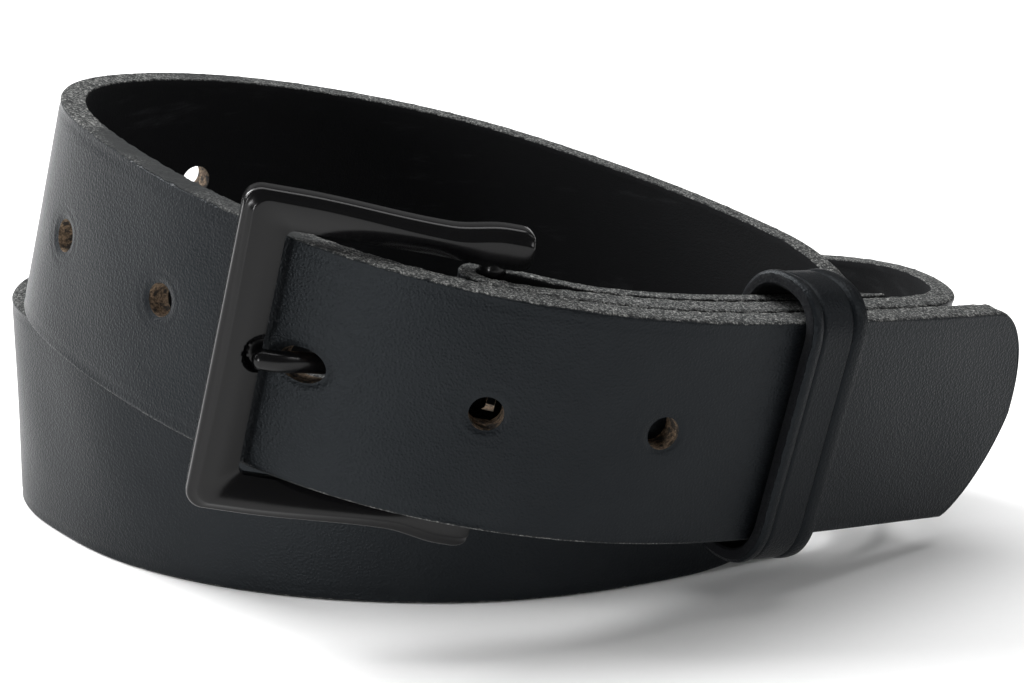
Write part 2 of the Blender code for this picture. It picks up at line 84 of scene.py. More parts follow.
# The strap's fine surface: how far apart its points are, and how deep its creases are pressed
FINE_STEP = 0.42
COARSE_STEP = 0.95
FINE_BY_HOLE = 5.5
FINE_BY_FOLD = 8.0
FINE_BAND = 5.0
EDGE_CREASE_DEPTH = 0.10
EDGE_CREASE_INSET = 1.25
EDGE_CREASE_WIDTH = 0.22
HOLE_DISH_DEPTH = 0.30
HOLE_DISH_WIDTH = 0.55
HOLE_RING_DEPTH = 0.09
HOLE_RING_OUT = 1.45
HOLE_RING_WIDTH = 0.28
EDGE_SHARES = (0.0, 0.25, 0.5, 0.75, 1.0)

# The holes, counted from the tip
HOLE_COUNT = 7
HOLE_DIAMETER = 4.6
HOLE_SPACING = 24.0
TIP_TO_FIRST_HOLE = 66.4
BUCKLED_HOLE = 3
BUCKLED_HOLE_LENGTH = 6.8

# The lean of the buckle turn, and how it settles into the lower turn at the right
LEAN_DEG = 12.4
LEAN_PIVOT_X = 85.3
PLAN_SHIFT_X = 1.0
BEND_SETTLE_START = -14.0
BEND_SETTLE_LENGTH = 40.0
RISE_START = -46.0
RISE_LENGTH = 52.0

# The buckle
BAR_RADIUS = 1.5
BAR_GAP = 0.45
BAR_U = -6.8
FRAME_LENGTH = 30.1
FRAME_SWING_DEG = 8.6
FRAME_LIFT = 0.4
FRAME_SIDE = 5.2
FRAME_NOSE = 6.2
FRAME_THICKNESS = 3.8
FRAME_CLEARANCE = 0.9
FRAME_CORNER = 2.4
FRAME_INNER_CORNER = 1.2
FRAME_END_ROUNDING = 2.0
FRAME_WAIST = 0.8
FRAME_FLARE = 1.0
FRAME_HEEL = 4.6
FRAME_RIDGE = 1.7
FRAME_SLOPE = 1.5
FRAME_SLOPE_AT_HEEL = 0.25
FRAME_SLOPE_LENGTH = 9.0
FRAME_WAIST_START = 26.0
FRAME_WAIST_LENGTH = 19.0
FRAME_FLARE_START = 6.5
FRAME_FLARE_LENGTH = 7.5
FRAME_SHOULDER = 1.35
FRAME_SHOULDER_WIDTH = 0.55
FRAME_SHOULDER_RISE = 0.75
COLLAR_HEIGHT = 0.35
COLLAR_OUT = 0.6
COLLAR_WIDTH = 0.8
NOTCH_RADIUS = 2.3
NOTCH_FLOOR = 0.3
NOTCH_EDGE = 0.7

# The prong
PRONG_THICKNESS = 2.6
PRONG_WIDTH = 2.9
PRONG_RING_WIDTH = 4.0
PRONG_RING_WALL = 1.4
PRONG_RING_INNER_CORNER = 0.3
PRONG_RING_OUTER_CORNER = 0.5
PRONG_RING_CROWN = 0.1
PRONG_RING_SHOULDER = 0.35
PRONG_REACH = 1.3
PRONG_ROOT = 0.6
PRONG_RISE = 4.4
PRONG_STRAP_GAP = 0.9
PRONG_TIP_STRAIGHT = 3.0
PRONG_TIP_ROUNDING = 1.3
PRONG_STEP = 0.25
PRONG_CLEARANCE = 0.7
CHANNEL_START = 0.36
CHANNEL_END = 0.92
FIT_GAP = 0.3
SLOT_WIDTH = 6.0
SLOT_REACH = 10.0
CUTTER_GAP_SHARE = 0.45

# The keeper
KEEPER_U = 38.5
KEEPER_WIDTH = 10.5
KEEPER_THICKNESS = 1.8
KEEPER_CLEARANCE = 0.6
KEEPER_PROUD = 3.6
KEEPER_ARCH = 2.4
KEEPER_CREASE_LEFT = 2.0
KEEPER_CREASE_RIGHT = 2.9
KEEPER_CREASE_DEPTH = 0.24
KEEPER_BEAD = 0.22

# The screws that hold the fold shut
SCREW_ROWS_U = (9.0, 22.5)
SCREW_OFFSET = 8.7
HEAD_RADIUS = 3.6
HEAD_THICKNESS = 0.8
POCKET_OVERLAP = 0.15
POCKET_OPENING = 0.6

# Where the strap's middle line goes in plan, from the tip to the right-hand end of the lower turn
UPPER_FRONT = [(72, 48.3), (61.9, 40.2), (50.2, 30.5), (39.7, 22.1), (27.6, 13.3)]
UPPER_FRONT += [(14.5, 6.4), (0.4, 2.5), (-14.2, 2.2), (-28.3, 6)]
UPPER_LEFT = [(-40.9, 13.6), (-51.9, 23.6), (-61.2, 35.1), (-66.5, 45.1), (-67.4, 57.2), (-61.6, 68.5)]
UPPER_BACK = [(-51, 78.4), (-37.9, 84.7), (-23.5, 87.3), (-8.8, 86.3)]
UPPER_BACK += [(5.5, 81), (18.9, 73.6), (31, 64), (39.8, 54.5)]
INNER_BEND = [(43.4, 47.3), (40.4, 40.8)]
LOWER_FRONT = [(32.4, 36.1), (22.9, 31.4), (10, 26), (-2.9, 22.9)]
LOWER_FRONT += [(-16.1, 22.4), (-27.5, 23.6), (-39.3, 26.6), (-48.2, 30.5)]
LOWER_LEFT = [(-59.5, 38.2), (-67.7, 47.2), (-73, 55), (-75.2, 63.5), (-73, 72.5)]
LOWER_BACK = [(-66.5, 80), (-55, 87), (-40, 91.5), (-23.5, 93.2), (-7, 93), (10, 91.5), (27, 87), (40, 82)]
HAIRPIN = [(48.2, 77.3), (53.2, 71.2), (56.8, 64.4), (58.6, 57.8), (59.4, 51.6), (58.9, 46.4)]
LAYER_START_U = 56.0
FOLD_BACK_END_U = 56.0
NOSE_PAST_BAR = 4.0
FOLD_CLOSING_LENGTH = 18.0

# The camera: its place in millimetres, its turns in degrees and its lens
CAMERA_PLACE = (2.25, -379.0, 155.8)
CAMERA_PITCH = 18.45
CAMERA_YAW = 0.22
CAMERA_ROLL = 0.16
CAMERA_LENS = 97.3
SENSOR_WIDTH = 36.0

# How many points go round a tube, a cutter, the heel bar and the prong's ring
TUBE_SIDES = 24
ROD_SIDES = 40
BAR_SIDES = 28
RING_STEPS = 48
SHARP_ANGLE_DEG = 40.0

# Colours, and how strongly each surface shines
GRAIN_DARK = (0.0030, 0.0036, 0.0045)
GRAIN_LIGHT = (0.0050, 0.0058, 0.0068)
FLESH_DARK = (0.0052, 0.0050, 0.0052)
FLESH_LIGHT = (0.017, 0.017, 0.018)
EDGE_DARK = (0.030, 0.031, 0.031)
EDGE_LIGHT = (0.40, 0.40, 0.385)
# The cut edge's colour where its bump dips: painted shade for its hollows
EDGE_HOLLOW_SHADE = (0.014, 0.014, 0.014)
KEEPER_EDGE_DARK = (0.006, 0.006, 0.007)
KEEPER_EDGE_LIGHT = (0.022, 0.023, 0.024)
CORE_DARK = (0.045, 0.030, 0.018)
CORE_LIGHT = (0.30, 0.21, 0.135)
CORE_HOLLOW = (0.020, 0.017, 0.014)
BUCKLE_BLACK = (0.0020, 0.0020, 0.0022)
SCREW_BLACK = (0.030, 0.030, 0.032)
STRAP_SPECULAR = 0.17
KEEPER_SPECULAR = 0.11
METAL_SPECULAR = 0.16
BUCKLE_ROUGHNESS = 0.21
SCREW_ROUGHNESS = 0.36

# The stage, in metres, and how bright the sky is as a light and as the backdrop
FLOOR_RADIUS = 1.1
FLOOR_SIDES = 96
SKY_LIGHT = 0.16
BACKDROP_LIGHT = 1.0

# The area lights: name, place, width and height in metres, and power in watts
LIGHT_TARGET = (0.0, 0.0, 0.03)
LIGHTS = [
    ("left_strip", (-0.95, -0.05, 0.60), 0.22, 0.55, 7.0),
    ("left_rim", (-0.75, 0.50, 0.60), 0.30, 0.55, 13.0),
    ("overhead", (0.0, 0.25, 1.25), 1.5, 0.9, 17.0),
    ("front_strip", (-0.52, -0.85, 0.05), 0.16, 0.40, 4.2),
    ("right_strip", (0.95, -0.22, 0.55), 0.20, 0.50, 2.4),
]


def smooth_step(x):
    x = np.clip(x, 0.0, 1.0)
    return x * x * (3.0 - 2.0 * x)


def bell(x, width):
    return np.exp(-((x / width) ** 2))


def lengths_along(line):
    return np.concatenate([[0.0], np.cumsum(np.linalg.norm(np.diff(line, axis=0), axis=1))])


def resample(line, step):
    along = lengths_along(line)
    count = int(round(along[-1] / step)) + 1
    wanted = np.linspace(0.0, along[-1], count)
    return np.stack([np.interp(wanted, along, line[:, k]) for k in range(line.shape[1])], axis=1)


def spline(points, step):
    """Evenly spaced points on the smooth curve through the given points."""
    points = np.array(points, dtype=float)
    knots = lengths_along(points)
    gaps = np.diff(knots)
    count = len(points)
    matrix = np.eye(count)
    right = np.zeros_like(points)
    for i in range(1, count - 1):
        matrix[i, i - 1] = gaps[i - 1]
        matrix[i, i] = 2.0 * (gaps[i - 1] + gaps[i])
        matrix[i, i + 1] = gaps[i]
        right[i] = 6.0 * ((points[i + 1] - points[i]) / gaps[i] - (points[i] - points[i - 1]) / gaps[i - 1])
    bend = np.linalg.solve(matrix, right)
    places = np.arange(0.0, knots[-1], 0.25)
    i = np.clip(np.searchsorted(knots, places, side="right") - 1, 0, count - 2)
    before = (places - knots[i])[:, None]
    after = (knots[i + 1] - places)[:, None]
    gap = gaps[i][:, None]
    fine = (bend[i] * after**3 + bend[i + 1] * before**3) / (6.0 * gap)
    fine += (points[i] / gap - bend[i] * gap / 6.0) * after
    fine += (points[i + 1] / gap - bend[i + 1] * gap / 6.0) * before
    return resample(np.vstack([fine, points[-1]]), step)


def inward_normals(line):
    """Unit normals on the coil's inner side, for a line that runs clockwise seen from above."""
    tangents = np.gradient(line, axis=0)
    tangents /= np.linalg.norm(tangents, axis=1)[:, None]
    return np.stack([tangents[:, 1], -tangents[:, 0]], axis=1)


def on_front(front, u):
    """The place on the upper turn's front, in plan, where the middle line has this u."""
    leftmost = int(np.argmin(front[: len(front) // 2, 0]))
    return int(np.argmin(np.abs(front[:leftmost, 0] - u)))


def bar_offset():
    """From the upper turn's middle line in to the centre of the heel bar."""
    return STRAP_THICKNESS / 2 + LAYER_GAP + FOLD_THICKNESS + BAR_GAP + BAR_RADIUS


def skived_thickness(to_nose):
    thinning = smooth_step((to_nose - THINNING_START) / THINNING_LENGTH)
    return FOLD_THICKNESS + (STRAP_THICKNESS - FOLD_THICKNESS) * float(thinning)


def fold_back_thickness(to_end):
    return END_THICKNESS + (FOLD_THICKNESS - END_THICKNESS) * float(smooth_step(to_end / PARED_LENGTH))


def strap_plan():
    """The whole strap's middle line in plan, and some marks on it."""
    free = UPPER_FRONT + UPPER_LEFT + UPPER_BACK + INNER_BEND
    free += LOWER_FRONT + LOWER_LEFT + LOWER_BACK + HAIRPIN
    front = spline(free, 1.0)
    normals = inward_normals(front)
    start = on_front(front, LAYER_START_U)
    bar = on_front(front, BAR_U)
    end = on_front(front, FOLD_BACK_END_U)
    layer_one = []
    for i in range(start, bar, 2):
        offset = STRAP_THICKNESS / 2 + LAYER_GAP + skived_thickness(bar - i + NOSE_PAST_BAR) / 2
        layer_one.append(front[i] + normals[i] * offset)
    centre = front[bar] + normals[bar] * bar_offset()
    radius = BAR_RADIUS + BAR_GAP + FOLD_THICKNESS / 2
    along = np.array([-normals[bar][1], normals[bar][0]])
    fold = []
    for angle in np.radians(np.arange(0.0, 181.0, 20.0)):
        fold.append(centre - normals[bar] * radius * math.cos(angle) + along * radius * math.sin(angle))
    layer_two = []
    closed = STRAP_THICKNESS * 1.5 + 2.0 * LAYER_GAP + FOLD_THICKNESS / 2
    opened = bar_offset() + radius
    for i in range(bar - 3, end, -3):
        opening = smooth_step((i - bar + FOLD_CLOSING_LENGTH) / FOLD_CLOSING_LENGTH)
        offset = closed + (opened - closed) * opening
        thin = (FOLD_THICKNESS - fold_back_thickness(i - end)) / 2
        layer_two.append(front[i] + normals[i] * (offset - thin))
    line = spline(free + layer_one + fold + layer_two, 0.5)
    return line, front, centre, centre + along * radius


def nearest(line, point, after=0):
    return after + int(np.argmin(np.linalg.norm(line[after:] - np.array(point), axis=1)))


def plan_to_x(u):
    return PLAN_SHIFT_X + u * math.cos(math.radians(LEAN_DEG))


def unit(rows):
    return rows / np.linalg.norm(rows, axis=1)[:, None]


class Strap:
    """The strap's middle line in space, with the directions along, across and out of its face."""

    def __init__(self):
        line, self.front, self.bar_centre, self.fold_nose = strap_plan()
        self.along = lengths_along(line)
        lean = math.tan(math.radians(LEAN_DEG))
        bend = self.along[nearest(line, INNER_BEND[0])]
        hairpin = self.along[nearest(line, HAIRPIN[-1])]
        leaning = 1.0 - smooth_step((self.along - bend - BEND_SETTLE_START) / BEND_SETTLE_LENGTH)
        leaning += smooth_step((self.along - hairpin - RISE_START) / RISE_LENGTH)
        self.middle = np.zeros((len(line), 3))
        self.middle[:, 0] = plan_to_x(line[:, 0])
        self.middle[:, 1] = line[:, 1]
        self.middle[:, 2] = STRAP_WIDTH / 2 + leaning * (LEAN_PIVOT_X - self.middle[:, 0]) * lean
        angle = np.radians(LEAN_DEG) * leaning
        up = np.stack([np.sin(angle), np.zeros(len(line)), np.cos(angle)], axis=1)
        self.tangent = unit(np.gradient(self.middle, axis=0))
        up -= self.tangent * np.sum(up * self.tangent, axis=1)[:, None]
        self.up = unit(up)
        self.inward = np.cross(self.tangent, self.up)
        self.length = self.along[-1]
        self.fold_at = self.along[nearest(line, self.fold_nose, len(line) // 2)]

    def rows(self, places):
        """Positions and directions at these lengths from the tip."""
        found = []
        for values in (self.middle, self.tangent, self.up, self.inward):
            found.append(np.stack([np.interp(places, self.along, values[:, k]) for k in range(3)], axis=1))
        return found[0], unit(found[1]), unit(found[2]), unit(found[3])

    def thickness(self, place):
        if place < self.fold_at:
            return skived_thickness(self.fold_at - place)
        return fold_back_thickness(self.length - place)

    def edges(self, place):
        """How far the lower and the upper edge lie from the middle line."""
        share = min(max(TIP_TAPER - place, 0.0) / TIP_TAPER, TIP_LAST_SHARE)
        low, high = (
            STRAP_WIDTH / 2 * (1.0 - share**roundness) ** (1.0 / roundness)
            for roundness in (TIP_ROUNDNESS_BOTTOM, TIP_ROUNDNESS_TOP)
        )
        return -low, high


def leaning_matrix(u, v, direction_u, direction_v):
    """Local x along the given plan direction, y across the strap, z into the coil, in millimetres."""
    angle = math.radians(LEAN_DEG)
    size = math.hypot(direction_u, direction_v)
    right = Vector((math.cos(angle), 0, -math.sin(angle)))
    across = Vector((math.sin(angle), 0, math.cos(angle)))
    x_axis = right * (direction_u / size) + Vector((0, 1, 0)) * (direction_v / size)
    matrix = Matrix((x_axis, across, x_axis.cross(across))).transposed().to_4x4()
    x = plan_to_x(u)
    matrix.translation = (x, v, STRAP_WIDTH / 2 + (LEAN_PIVOT_X - x) * math.tan(angle))
    return matrix


def buckle_matrix(strap):
    swing = math.radians(FRAME_SWING_DEG)
    return leaning_matrix(*strap.bar_centre, -math.cos(swing), -math.sin(swing))


def layer_matrix(strap, u):
    i = on_front(strap.front, u)
    return leaning_matrix(*strap.front[i], *(strap.front[i + 1] - strap.front[i - 1]))


# Materials


def new_material(name):
    material = bpy.data.materials.new(name)
    material.use_nodes = True
    tree = material.node_tree
    shader = tree.nodes["Principled BSDF"]
    place = tree.nodes.new("ShaderNodeTexCoord").outputs["Object"]
    return material, tree, shader, place


def noise(tree, place, size_mm, detail=3.0, rough=0.55, stretch=None):
    node = tree.nodes.new("ShaderNodeTexNoise")
    node.inputs["Scale"].default_value = 1.0 / (size_mm * TO_METRES)
    node.inputs["Detail"].default_value = detail
    node.inputs["Roughness"].default_value = rough
    if stretch:
        mapping = tree.nodes.new("ShaderNodeMapping")
        mapping.inputs["Scale"].default_value = stretch
        tree.links.new(place, mapping.inputs["Vector"])
        place = mapping.outputs["Vector"]
    tree.links.new(place, node.inputs["Vector"])
    return node.outputs["Fac"]


def cells(tree, place, size_mm):
    node = tree.nodes.new("ShaderNodeTexVoronoi")
    node.feature = "F1"
    node.inputs["Scale"].default_value = 1.0 / (size_mm * TO_METRES)
    tree.links.new(place, node.inputs["Vector"])
    return node.outputs["Distance"]


def mapped(tree, value, low, high, to_low=0.0, to_high=1.0):
    node = tree.nodes.new("ShaderNodeMapRange")
    node.interpolation_type = "SMOOTHSTEP"
    for socket, number in (("From Min", low), ("From Max", high), ("To Min", to_low), ("To Max", to_high)):
        node.inputs[socket].default_value = number
    tree.links.new(value, node.inputs["Value"])
    return node.outputs["Result"]


def calculate(tree, operation, first, second):
    node = tree.nodes.new("ShaderNodeMath")
    node.operation = operation
    for socket, value in zip(node.inputs, (first, second)):
        if isinstance(value, (int, float)):
            socket.default_value = value
        else:
            tree.links.new(value, socket)
    return node.outputs["Value"]


def about_zero(tree, value, amount):
    """A value from 0 to 1 made to swing to either side of zero."""
    return calculate(tree, "MULTIPLY", calculate(tree, "SUBTRACT", value, 0.5), amount)


def blended(tree, factor, first, second):
    """One colour turning into the other; each is a colour or a socket."""
    node = tree.nodes.new("ShaderNodeMix")
    node.data_type = "RGBA"
    tree.links.new(factor, node.inputs["Factor"])
    for socket, colour in ((node.inputs[6], first), (node.inputs[7], second)):
        if isinstance(colour, tuple):
            socket.default_value = (*colour, 1.0)
        else:
            tree.links.new(colour, socket)
    return node.outputs[2]


def mixed(tree, factor, first, second):
    """One number turning into the other."""
    node = tree.nodes.new("ShaderNodeMix")
    node.data_type = "FLOAT"
    tree.links.new(factor, node.inputs["Factor"])
    for socket, value in ((node.inputs[2], first), (node.inputs[3], second)):
        if isinstance(value, (int, float)):
            socket.default_value = value
        else:
            tree.links.new(value, socket)
    return node.outputs[0]


def bump(tree, height, depth_mm, strength=1.0):
    node = tree.nodes.new("ShaderNodeBump")
    node.inputs["Strength"].default_value = strength
    node.inputs["Distance"].default_value = depth_mm * TO_METRES
    tree.links.new(height, node.inputs["Height"])
    return node.outputs["Normal"]


def mask(tree, name):
    node = tree.nodes.new("ShaderNodeAttribute")
    node.attribute_name = name
    return node.outputs["Fac"]


def leather_material(name, specular, edge_dark=EDGE_DARK, edge_light=EDGE_LIGHT):
    """Satin grain outside, a raw fibrous cut edge, and a sueded flesh side, told apart by two masks."""
    material, tree, shader, place = new_material(name)
    patches = noise(tree, place, 11.0, 4.0)
    pebbles = cells(tree, place, 0.40)
    fine = noise(tree, place, 0.30, 4.0, 0.6)
    wrinkles = noise(tree, place, 2.6, 5.0, 0.62)
    fibre = noise(tree, place, 0.34, 5.0, 0.72)
    tufts = noise(tree, place, 1.3, 4.0, 0.7)
    scuffs = noise(tree, place, 5.0, 6.0, 0.7, stretch=(0.25, 0.25, 1.3))

    ragged = calculate(tree, "ADD", mask(tree, "edge"), about_zero(tree, tufts, 0.7))
    edge = mapped(tree, ragged, 0.42, 0.58)
    flesh = mapped(tree, mask(tree, "flesh"), 0.3, 0.7)

    grain_colour = blended(tree, mapped(tree, patches, 0.3, 0.7), GRAIN_DARK, GRAIN_LIGHT)
    speckle = mapped(tree, fibre, 0.45, 0.72)
    edge_colour = blended(tree, speckle, edge_dark, edge_light)
    # The cut edge is painted darker where the tufts noise sinks its bump: painted shade in the edge's hollows
    edge_colour = blended(tree, mapped(tree, tufts, 0.3, 0.5, 1.0, 0.0), edge_colour, EDGE_HOLLOW_SHADE)
    worn = mapped(tree, noise(tree, place, 24.0, 2.0), 0.48, 0.68)
    edge_colour = blended(tree, worn, edge_colour, edge_dark)
    flesh_colour = blended(tree, mapped(tree, scuffs, 0.56, 0.78), FLESH_DARK, FLESH_LIGHT)
    colour = blended(tree, flesh, grain_colour, flesh_colour)
    colour = blended(tree, edge, colour, edge_colour)
    tree.links.new(colour, shader.inputs["Base Color"])

    rough = mixed(tree, patches, 0.33, 0.43)
    rough = calculate(tree, "ADD", rough, about_zero(tree, fine, 0.12))
    rough = mixed(tree, flesh, rough, 0.95)
    tree.links.new(mixed(tree, edge, rough, 0.93), shader.inputs["Roughness"])
    shader.inputs["Specular IOR Level"].default_value = specular
    shader.inputs["Specular Tint"].default_value = (0.84, 0.93, 1.0, 1.0)

    dents = calculate(tree, "MULTIPLY", mapped(tree, pebbles, 0.0, 0.75), -0.6)
    grain = calculate(tree, "ADD", dents, fine)
    grain = calculate(tree, "ADD", grain, calculate(tree, "MULTIPLY", wrinkles, 0.5))
    rugged = calculate(tree, "ADD", fibre, calculate(tree, "MULTIPLY", tufts, 1.2))
    grain_side = mixed(tree, flesh, grain, calculate(tree, "MULTIPLY", fibre, 1.6))
    height = mixed(tree, edge, grain_side, calculate(tree, "MULTIPLY", rugged, 4.5))
    tree.links.new(bump(tree, height, 0.060, 1.0), shader.inputs["Normal"])
    return material


def raw_leather_material():
    """The undyed core that a punched hole shows."""
    material, tree, shader, place = new_material("raw_leather")
    fibre = noise(tree, place, 0.4, 5.0, 0.7)
    layers = noise(tree, place, 1.2, 3.0, 0.6)
    colour = blended(tree, mapped(tree, fibre, 0.35, 0.7), CORE_DARK, CORE_LIGHT)
    colour = blended(tree, mapped(tree, layers, 0.48, 0.62), colour, CORE_HOLLOW)
    tree.links.new(colour, shader.inputs["Base Color"])
    shader.inputs["Roughness"].default_value = 0.92
    tree.links.new(bump(tree, fibre, 0.14), shader.inputs["Normal"])
    return material


def black_metal_material(name, base, roughness):
    """A thin black coat over cast metal: nearly glossy, with a faint orange-peel and tiny dust pits."""
    material, tree, shader, place = new_material(name)
    cloud = noise(tree, place, 6.0, 4.0)
    peel = noise(tree, place, 0.7, 2.0, 0.4)
    pits = cells(tree, place, 1.9)
    colour = blended(tree, cloud, base, tuple(c * 1.7 for c in base))
    tree.links.new(colour, shader.inputs["Base Color"])
    tree.links.new(mixed(tree, cloud, roughness - 0.05, roughness + 0.08), shader.inputs["Roughness"])
    shader.inputs["Specular IOR Level"].default_value = METAL_SPECULAR
    shader.inputs["Coat Weight"].default_value = 0.16
    shader.inputs["Coat Roughness"].default_value = 0.16
    height = calculate(tree, "ADD", peel, calculate(tree, "MULTIPLY", mapped(tree, pits, 0.02, 0.09), 0.5))
    tree.links.new(bump(tree, height, 0.012, 0.7), shader.inputs["Normal"])
    return material


# Meshes


def add_piece(name, points, faces, material, masks=None):
    """A mesh object from points in metres."""
    mesh = bpy.data.meshes.new(name)
    mesh.from_pydata([tuple(p) for p in points], [], faces)
    for mask_name, values in (masks or {}).items():
        layer = mesh.attributes.new(mask_name, "FLOAT", "POINT")
        layer.data.foreach_set("value", np.array(values, dtype=np.float32))
    mesh.materials.append(material)
    obj = bpy.data.objects.new(name, mesh)
    bpy.context.scene.collection.objects.link(obj)
    shape = bmesh.new()
    shape.from_mesh(mesh)
    bmesh.ops.recalc_face_normals(shape, faces=shape.faces)
    shape.to_mesh(mesh)
    shape.free()
    finish_shading(obj)
    return obj


def finish_shading(obj):
    obj.data.shade_smooth()
    obj.data.set_sharp_from_angle(angle=math.radians(SHARP_ANGLE_DEG))


def grid_faces(rows, columns, closed_rows=False):
    """Faces of a grid of points round a tube; its ends are capped unless its rows close into a ring."""
    faces = []
    for i in range(rows if closed_rows else rows - 1):
        below = (i + 1) % rows
        for k in range(columns):
            after = (k + 1) % columns
            faces.append((i * columns + k, i * columns + after, below * columns + after, below * columns + k))
    if not closed_rows:
        faces.append(tuple(range(columns)))
        faces.append(tuple((rows - 1) * columns + k for k in reversed(range(columns))))
    return faces


def tube(matrix, line, radii):
    """An oval tube round a line in a local frame; each of radii holds (in plane, across)."""
    line = np.array(line, dtype=float)
    tangents = unit(np.gradient(line, axis=0))
    across = np.tile(np.array([0.0, 1.0, 0.0]), (len(line), 1))
    side = np.cross(across, tangents)
    points = []
    for i, (in_plane, sideways) in enumerate(radii):
        for k in range(TUBE_SIDES):
            angle = 2.0 * math.pi * k / TUBE_SIDES
            local = line[i] + side[i] * in_plane * math.cos(angle) + across[i] * sideways * math.sin(angle)
            points.append(matrix @ Vector(local))
    return points, grid_faces(len(line), TUBE_SIDES)


class Builder:
    """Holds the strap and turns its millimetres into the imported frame's metres."""

    def __init__(self, frame):
        self.strap = Strap()
        joints = {joint["name"]: joint for joint in frame["record"]["behaviour"]["joints"]}
        hinge = Vector(joints["frame_swing"]["pos_m"]) / TO_METRES
        self.shift = hinge - buckle_matrix(self.strap).translation

    def world(self, points):
        return [(Vector(point) + self.shift) * TO_METRES for point in points]

    def world_matrix(self, matrix):
        return Matrix.Translation(self.shift) @ matrix


def hole_places():
    return [TIP_TO_FIRST_HOLE + i * HOLE_SPACING for i in range(HOLE_COUNT)]


def ring_places(strap):
    """Lengths from the tip at which the strap's fine surface has a ring of points."""
    tip = TIP_TAPER * (1.0 - np.cos(np.linspace(0.0, math.pi / 2, 34)))
    places = list(tip)
    place = TIP_TAPER
    marks = np.array(hole_places())
    while place < strap.length - 0.9:
        to_hole = np.min(np.abs(marks - place))
        to_fold = abs(place - strap.fold_at)
        place += FINE_STEP if to_hole < FINE_BY_HOLE or to_fold < FINE_BY_FOLD else COARSE_STEP
        places.append(place)
    places.append(strap.length)
    return np.array(places)


def section_shares():
    """Across the face, from the lower edge to the upper: dense where the holes are."""
    middle = np.arange(-FINE_BAND, FINE_BAND + 0.01, FINE_STEP) / (STRAP_WIDTH / 2)
    low = np.linspace(-1.0, middle[0], 16)[:-1]
    return np.concatenate([low, middle, -low[::-1]])


def face_relief(place, w, strap, low, high):
    """How far the grain side is pressed in, in millimetres."""
    relief = 0.05 * np.sin(place * 0.11 + w * 0.16) + 0.03 * np.sin(place * 0.31 - w * 0.23 + 1.7)
    for to_edge in (np.abs(w - low), np.abs(high - w)):
        relief = relief + EDGE_CREASE_DEPTH * bell(to_edge - EDGE_CREASE_INSET, EDGE_CREASE_WIDTH)
    for number, mark in enumerate(hole_places(), start=1):
        if abs(mark - place) > 6.0:
            continue
        stretch = BUCKLED_HOLE_LENGTH / HOLE_DIAMETER if number == BUCKLED_HOLE else 1.0
        away = np.hypot((place - mark) / stretch, w) - HOLE_DIAMETER / 2
        relief = relief + HOLE_DISH_DEPTH * bell(np.maximum(away, 0.0), HOLE_DISH_WIDTH)
        relief = relief + HOLE_RING_DEPTH * bell(away - HOLE_RING_OUT, HOLE_RING_WIDTH)
    return relief


def strap_points(strap):
    """Fine rings round the strap, with the masks that tell grain, cut edge and flesh side apart."""
    shares = section_shares()
    places = ring_places(strap)
    middle, _, up, inward = strap.rows(places)
    points, edge_mask, flesh_mask = [], [], []
    corner = np.radians(np.array([20.0, 45.0, 70.0]))
    for i, place in enumerate(places):
        low, high = strap.edges(place)
        half = strap.thickness(place) / 2
        centre = (low + high) / 2
        reach = (high - low) / 2
        inside = max(reach - GRAIN_CORNER, reach * 0.3)
        grain_corner = reach - inside
        face_w = centre + shares * inside
        grain_in = face_relief(place, face_w, strap, low, high)
        ring = [(w, -half + r, 0.0, 0.0) for w, r in zip(face_w, grain_in)]
        rise = min(GRAIN_CORNER, half * 0.5)
        for angle in corner:
            w = centre + inside + grain_corner * math.sin(angle)
            o = -half + rise * (1 - math.cos(angle))
            ring.append((w, o, 0.25 + 0.5 * math.sin(angle), 0.0))
        for share in EDGE_SHARES:
            o = -half + rise + share * (2 * half - rise - FLESH_CORNER * 0.7)
            fuzz = 0.05 * math.sin(place * 2.1 + share * 5.0) + 0.04 * math.sin(place * 5.3 - share * 9.0)
            ring.append((high + fuzz, o, 1.0, 0.0))
        back_inside = max(reach - FLESH_CORNER, reach * 0.3)
        for w in centre + shares[::-1] * back_inside:
            ring.append((w, half, 0.0, 1.0))
        for share in EDGE_SHARES[::-1]:
            o = -half + rise + share * (2 * half - rise - FLESH_CORNER * 0.7)
            fuzz = 0.05 * math.sin(place * 2.3 + share * 4.0) + 0.04 * math.sin(place * 4.9 - share * 8.0)
            ring.append((low - fuzz, o, 1.0, 0.0))
        for angle in corner[::-1]:
            w = centre - inside - grain_corner * math.sin(angle)
            o = -half + rise * (1 - math.cos(angle))
            ring.append((w, o, 0.25 + 0.5 * math.sin(angle), 0.0))
        for w, o, edge, flesh in ring:
            points.append(middle[i] + up[i] * w + inward[i] * o)
            edge_mask.append(edge)
            flesh_mask.append(flesh)
    return points, len(places), edge_mask, flesh_mask


def rod(matrix, radius, low, high, stretch=1.0):
    """Points and faces of a round cutter along the matrix's z axis."""
    points = []
    for height in (low, high):
        for k in range(ROD_SIDES):
            angle = 2.0 * math.pi * k / ROD_SIDES
            local = (radius * stretch * math.cos(angle), radius * math.sin(angle), height)
            points.append(matrix @ Vector(local))
    return points, grid_faces(2, ROD_SIDES)


def joined(parts):
    points, faces = [], []
    for part_points, part_faces in parts:
        start = len(points)
        points += list(part_points)
        faces += [tuple(start + index for index in face) for face in part_faces]
    return points, faces


def face_matrix(strap, place):
    position, tangent, up, inward = (rows[0] for rows in strap.rows(np.array([place])))
    matrix = Matrix((Vector(tangent), Vector(up), Vector(inward))).transposed().to_4x4()
    matrix.translation = Vector(position)
    return matrix


